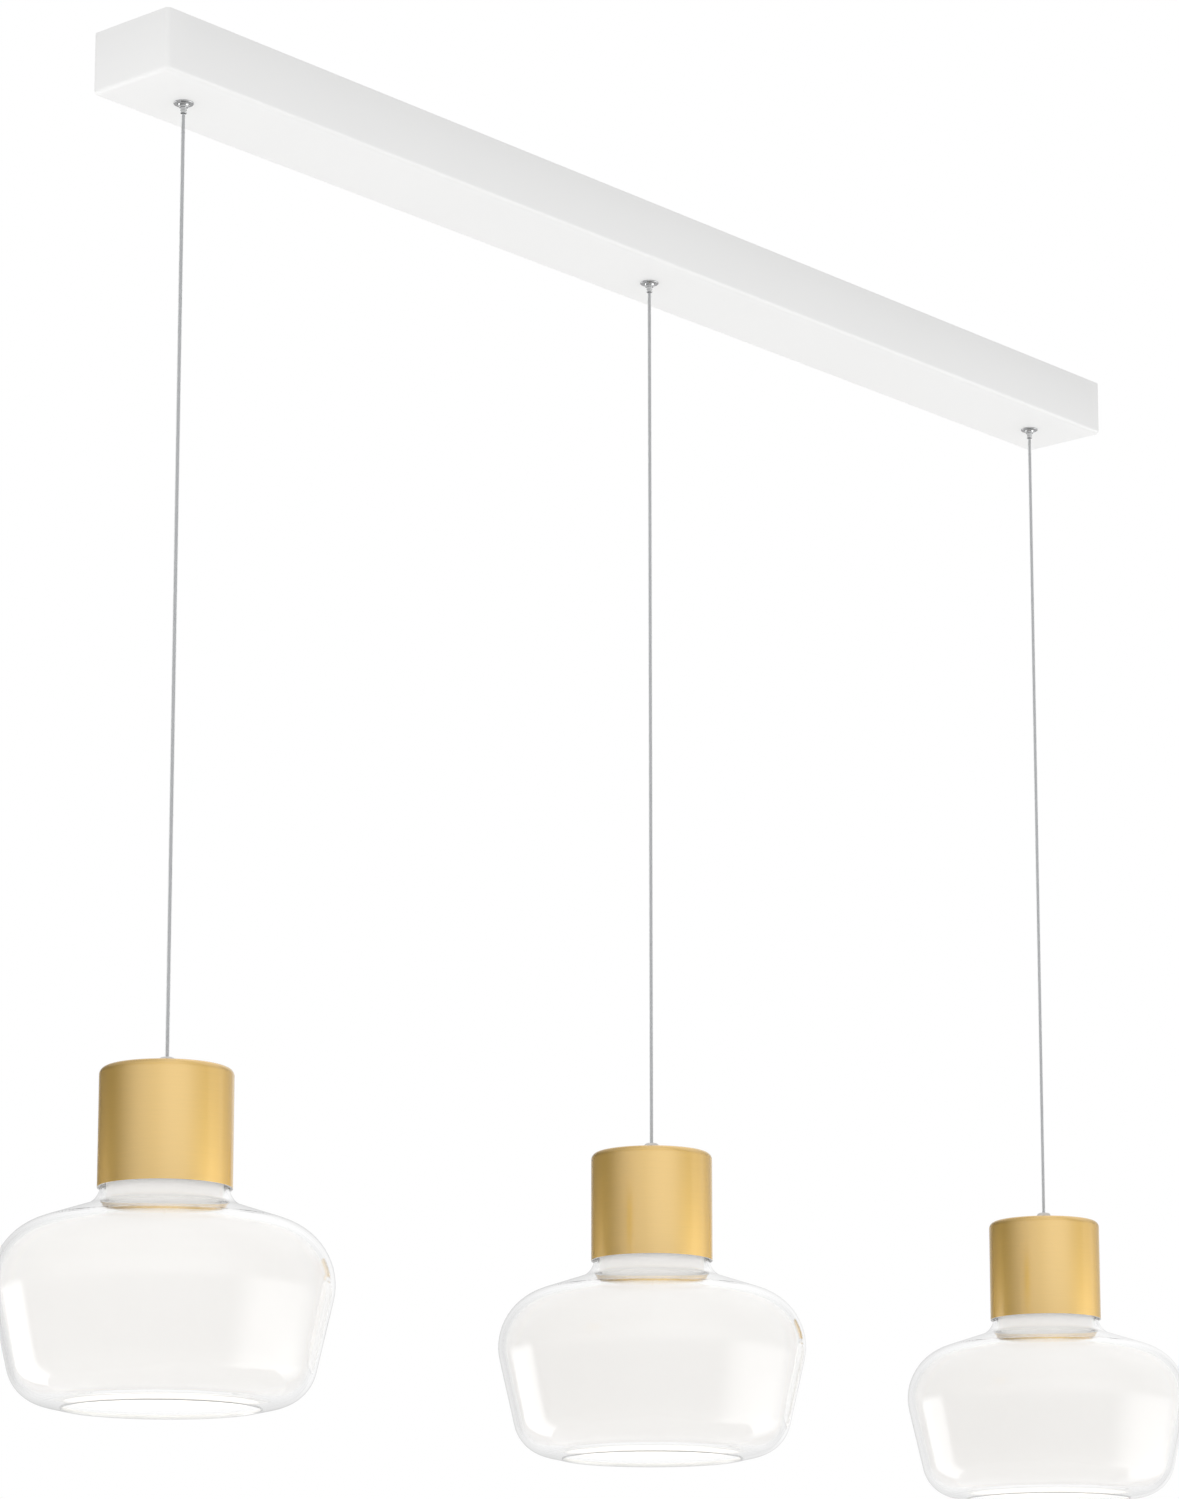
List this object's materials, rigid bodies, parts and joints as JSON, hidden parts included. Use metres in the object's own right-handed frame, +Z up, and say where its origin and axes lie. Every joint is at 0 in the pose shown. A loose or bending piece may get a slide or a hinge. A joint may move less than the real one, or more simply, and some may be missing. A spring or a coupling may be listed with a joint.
{
  "type": "linear island pendant light",
  "caption": "Linear island pendant: a long white box housing at the ceiling and brass-cupped lamps on clear cables, each with a clear glass shade over an opal one.",
  "frame": {"origin": "centre of the housing's footprint in the ceiling plane", "axes": "+Z up into the ceiling, +X along the housing, +Y across it towards its far long side"},
  "size_m": [1.1132, 0.2071, 0.8673],
  "materials": {
    "white_steel": "satin powder coat",
    "zinc_steel": "zinc plated",
    "polished_chrome": "polished",
    "satin_brass": "satin",
    "clear_glass": "clear, polished",
    "opal_glass": "opal, smooth",
    "sink_aluminium": "plain cast",
    "board_white": "white solder mask",
    "diffuser_white": "opal acrylic",
    "ring_white": "moulded",
    "clear_silicone": "soft",
    "bright_steel": "bright",
    "clear_jacket": "clear PVC",
    "tinned_core": "tinned strands",
    "driver_white": "moulded",
    "terminal_black": "moulded",
    "lead_white": "PVC insulation"
  },
  "bodies": {
    "root": {"housing_cover": "white_steel", "ceiling_bracket": "zinc_steel", "cover_screws": "bright_steel", "gripper_nuts": "zinc_steel", "terminal_block": "terminal_black", "driver_case": "driver_white", "driver_lid": "driver_white", "driver_leads": "lead_white", "cable_tails": "clear_jacket", "gripper_body_left": "polished_chrome", "gripper_spring_left": "bright_steel", "gripper_body_middle": "polished_chrome", "gripper_spring_middle": "bright_steel", "gripper_body_right": "polished_chrome", "gripper_spring_right": "bright_steel"},
    "nipple_left": {"gripper_nipple_left": "polished_chrome"},
    "bend_left": {"cable_bend_left": "clear_jacket"},
    "drop_left": {"cable_jacket_left": "clear_jacket", "cable_core_left": "tinned_core"},
    "lamp_left": {"cup_left": "satin_brass", "cup_gland_left": "terminal_black", "cable_end_left": "clear_jacket", "heat_sink_left": "sink_aluminium", "led_board_left": "board_white", "light_disc_left": "diffuser_white", "shade_ring_left": "ring_white", "ring_screws_left": "bright_steel", "shade_gaskets_left": "clear_silicone", "clear_shade_left": "clear_glass", "opal_shade_left": "opal_glass"},
    "nipple_middle": {"gripper_nipple_middle": "polished_chrome"},
    "bend_middle": {"cable_bend_middle": "clear_jacket"},
    "drop_middle": {"cable_jacket_middle": "clear_jacket", "cable_core_middle": "tinned_core"},
    "lamp_middle": {"cup_middle": "satin_brass", "cup_gland_middle": "terminal_black", "cable_end_middle": "clear_jacket", "heat_sink_middle": "sink_aluminium", "led_board_middle": "board_white", "light_disc_middle": "diffuser_white", "shade_ring_middle": "ring_white", "ring_screws_middle": "bright_steel", "shade_gaskets_middle": "clear_silicone", "clear_shade_middle": "clear_glass", "opal_shade_middle": "opal_glass"},
    "nipple_right": {"gripper_nipple_right": "polished_chrome"},
    "bend_right": {"cable_bend_right": "clear_jacket"},
    "drop_right": {"cable_jacket_right": "clear_jacket", "cable_core_right": "tinned_core"},
    "lamp_right": {"cup_right": "satin_brass", "cup_gland_right": "terminal_black", "cable_end_right": "clear_jacket", "heat_sink_right": "sink_aluminium", "led_board_right": "board_white", "light_disc_right": "diffuser_white", "shade_ring_right": "ring_white", "ring_screws_right": "bright_steel", "shade_gaskets_right": "clear_silicone", "clear_shade_right": "clear_glass", "opal_shade_right": "opal_glass"}
  },
  "joints": [
    {"name": "nipple_press_left", "type": "slide", "parent": "root", "child": "nipple_left", "axis": [0, 0, 1], "range_m": [0, 0.0018], "stiffness_N_per_m": 350, "springref_m": -0.004, "deforming": ["gripper_spring_left"]},
    {"name": "swing_across_left", "type": "hinge", "parent": "root", "child": "bend_left", "pos_m": [-0.453, 0, -0.0498], "axis": [1, 0, 0], "range_deg": [-12, 12]},
    {"name": "swing_along_left", "type": "hinge", "parent": "bend_left", "child": "drop_left", "pos_m": [-0.453, 0, -0.0621], "axis": [0, 1, 0], "range_deg": [-7, 7]},
    {"name": "height_left", "type": "slide", "parent": "drop_left", "child": "lamp_left", "axis": [0, 0, 1], "range_m": [0, 0.4], "deforming": ["cable_jacket_left", "cable_core_left"]},
    {"name": "nipple_press_middle", "type": "slide", "parent": "root", "child": "nipple_middle", "axis": [0, 0, 1], "range_m": [0, 0.0018], "stiffness_N_per_m": 350, "springref_m": -0.004, "deforming": ["gripper_spring_middle"]},
    {"name": "swing_across_middle", "type": "hinge", "parent": "root", "child": "bend_middle", "pos_m": [0, 0, -0.0498], "axis": [1, 0, 0], "range_deg": [-12, 12]},
    {"name": "swing_along_middle", "type": "hinge", "parent": "bend_middle", "child": "drop_middle", "pos_m": [0, 0, -0.0621], "axis": [0, 1, 0], "range_deg": [-7, 7]},
    {"name": "height_middle", "type": "slide", "parent": "drop_middle", "child": "lamp_middle", "axis": [0, 0, 1], "range_m": [0, 0.4], "deforming": ["cable_jacket_middle", "cable_core_middle"]},
    {"name": "nipple_press_right", "type": "slide", "parent": "root", "child": "nipple_right", "axis": [0, 0, 1], "range_m": [0, 0.0018], "stiffness_N_per_m": 350, "springref_m": -0.004, "deforming": ["gripper_spring_right"]},
    {"name": "swing_across_right", "type": "hinge", "parent": "root", "child": "bend_right", "pos_m": [0.453, 0, -0.0498], "axis": [1, 0, 0], "range_deg": [-12, 12]},
    {"name": "swing_along_right", "type": "hinge", "parent": "bend_right", "child": "drop_right", "pos_m": [0.453, 0, -0.0621], "axis": [0, 1, 0], "range_deg": [-7, 7]},
    {"name": "height_right", "type": "slide", "parent": "drop_right", "child": "lamp_right", "axis": [0, 0, 1], "range_m": [0, 0.4], "deforming": ["cable_jacket_right", "cable_core_right"]}
  ]
}
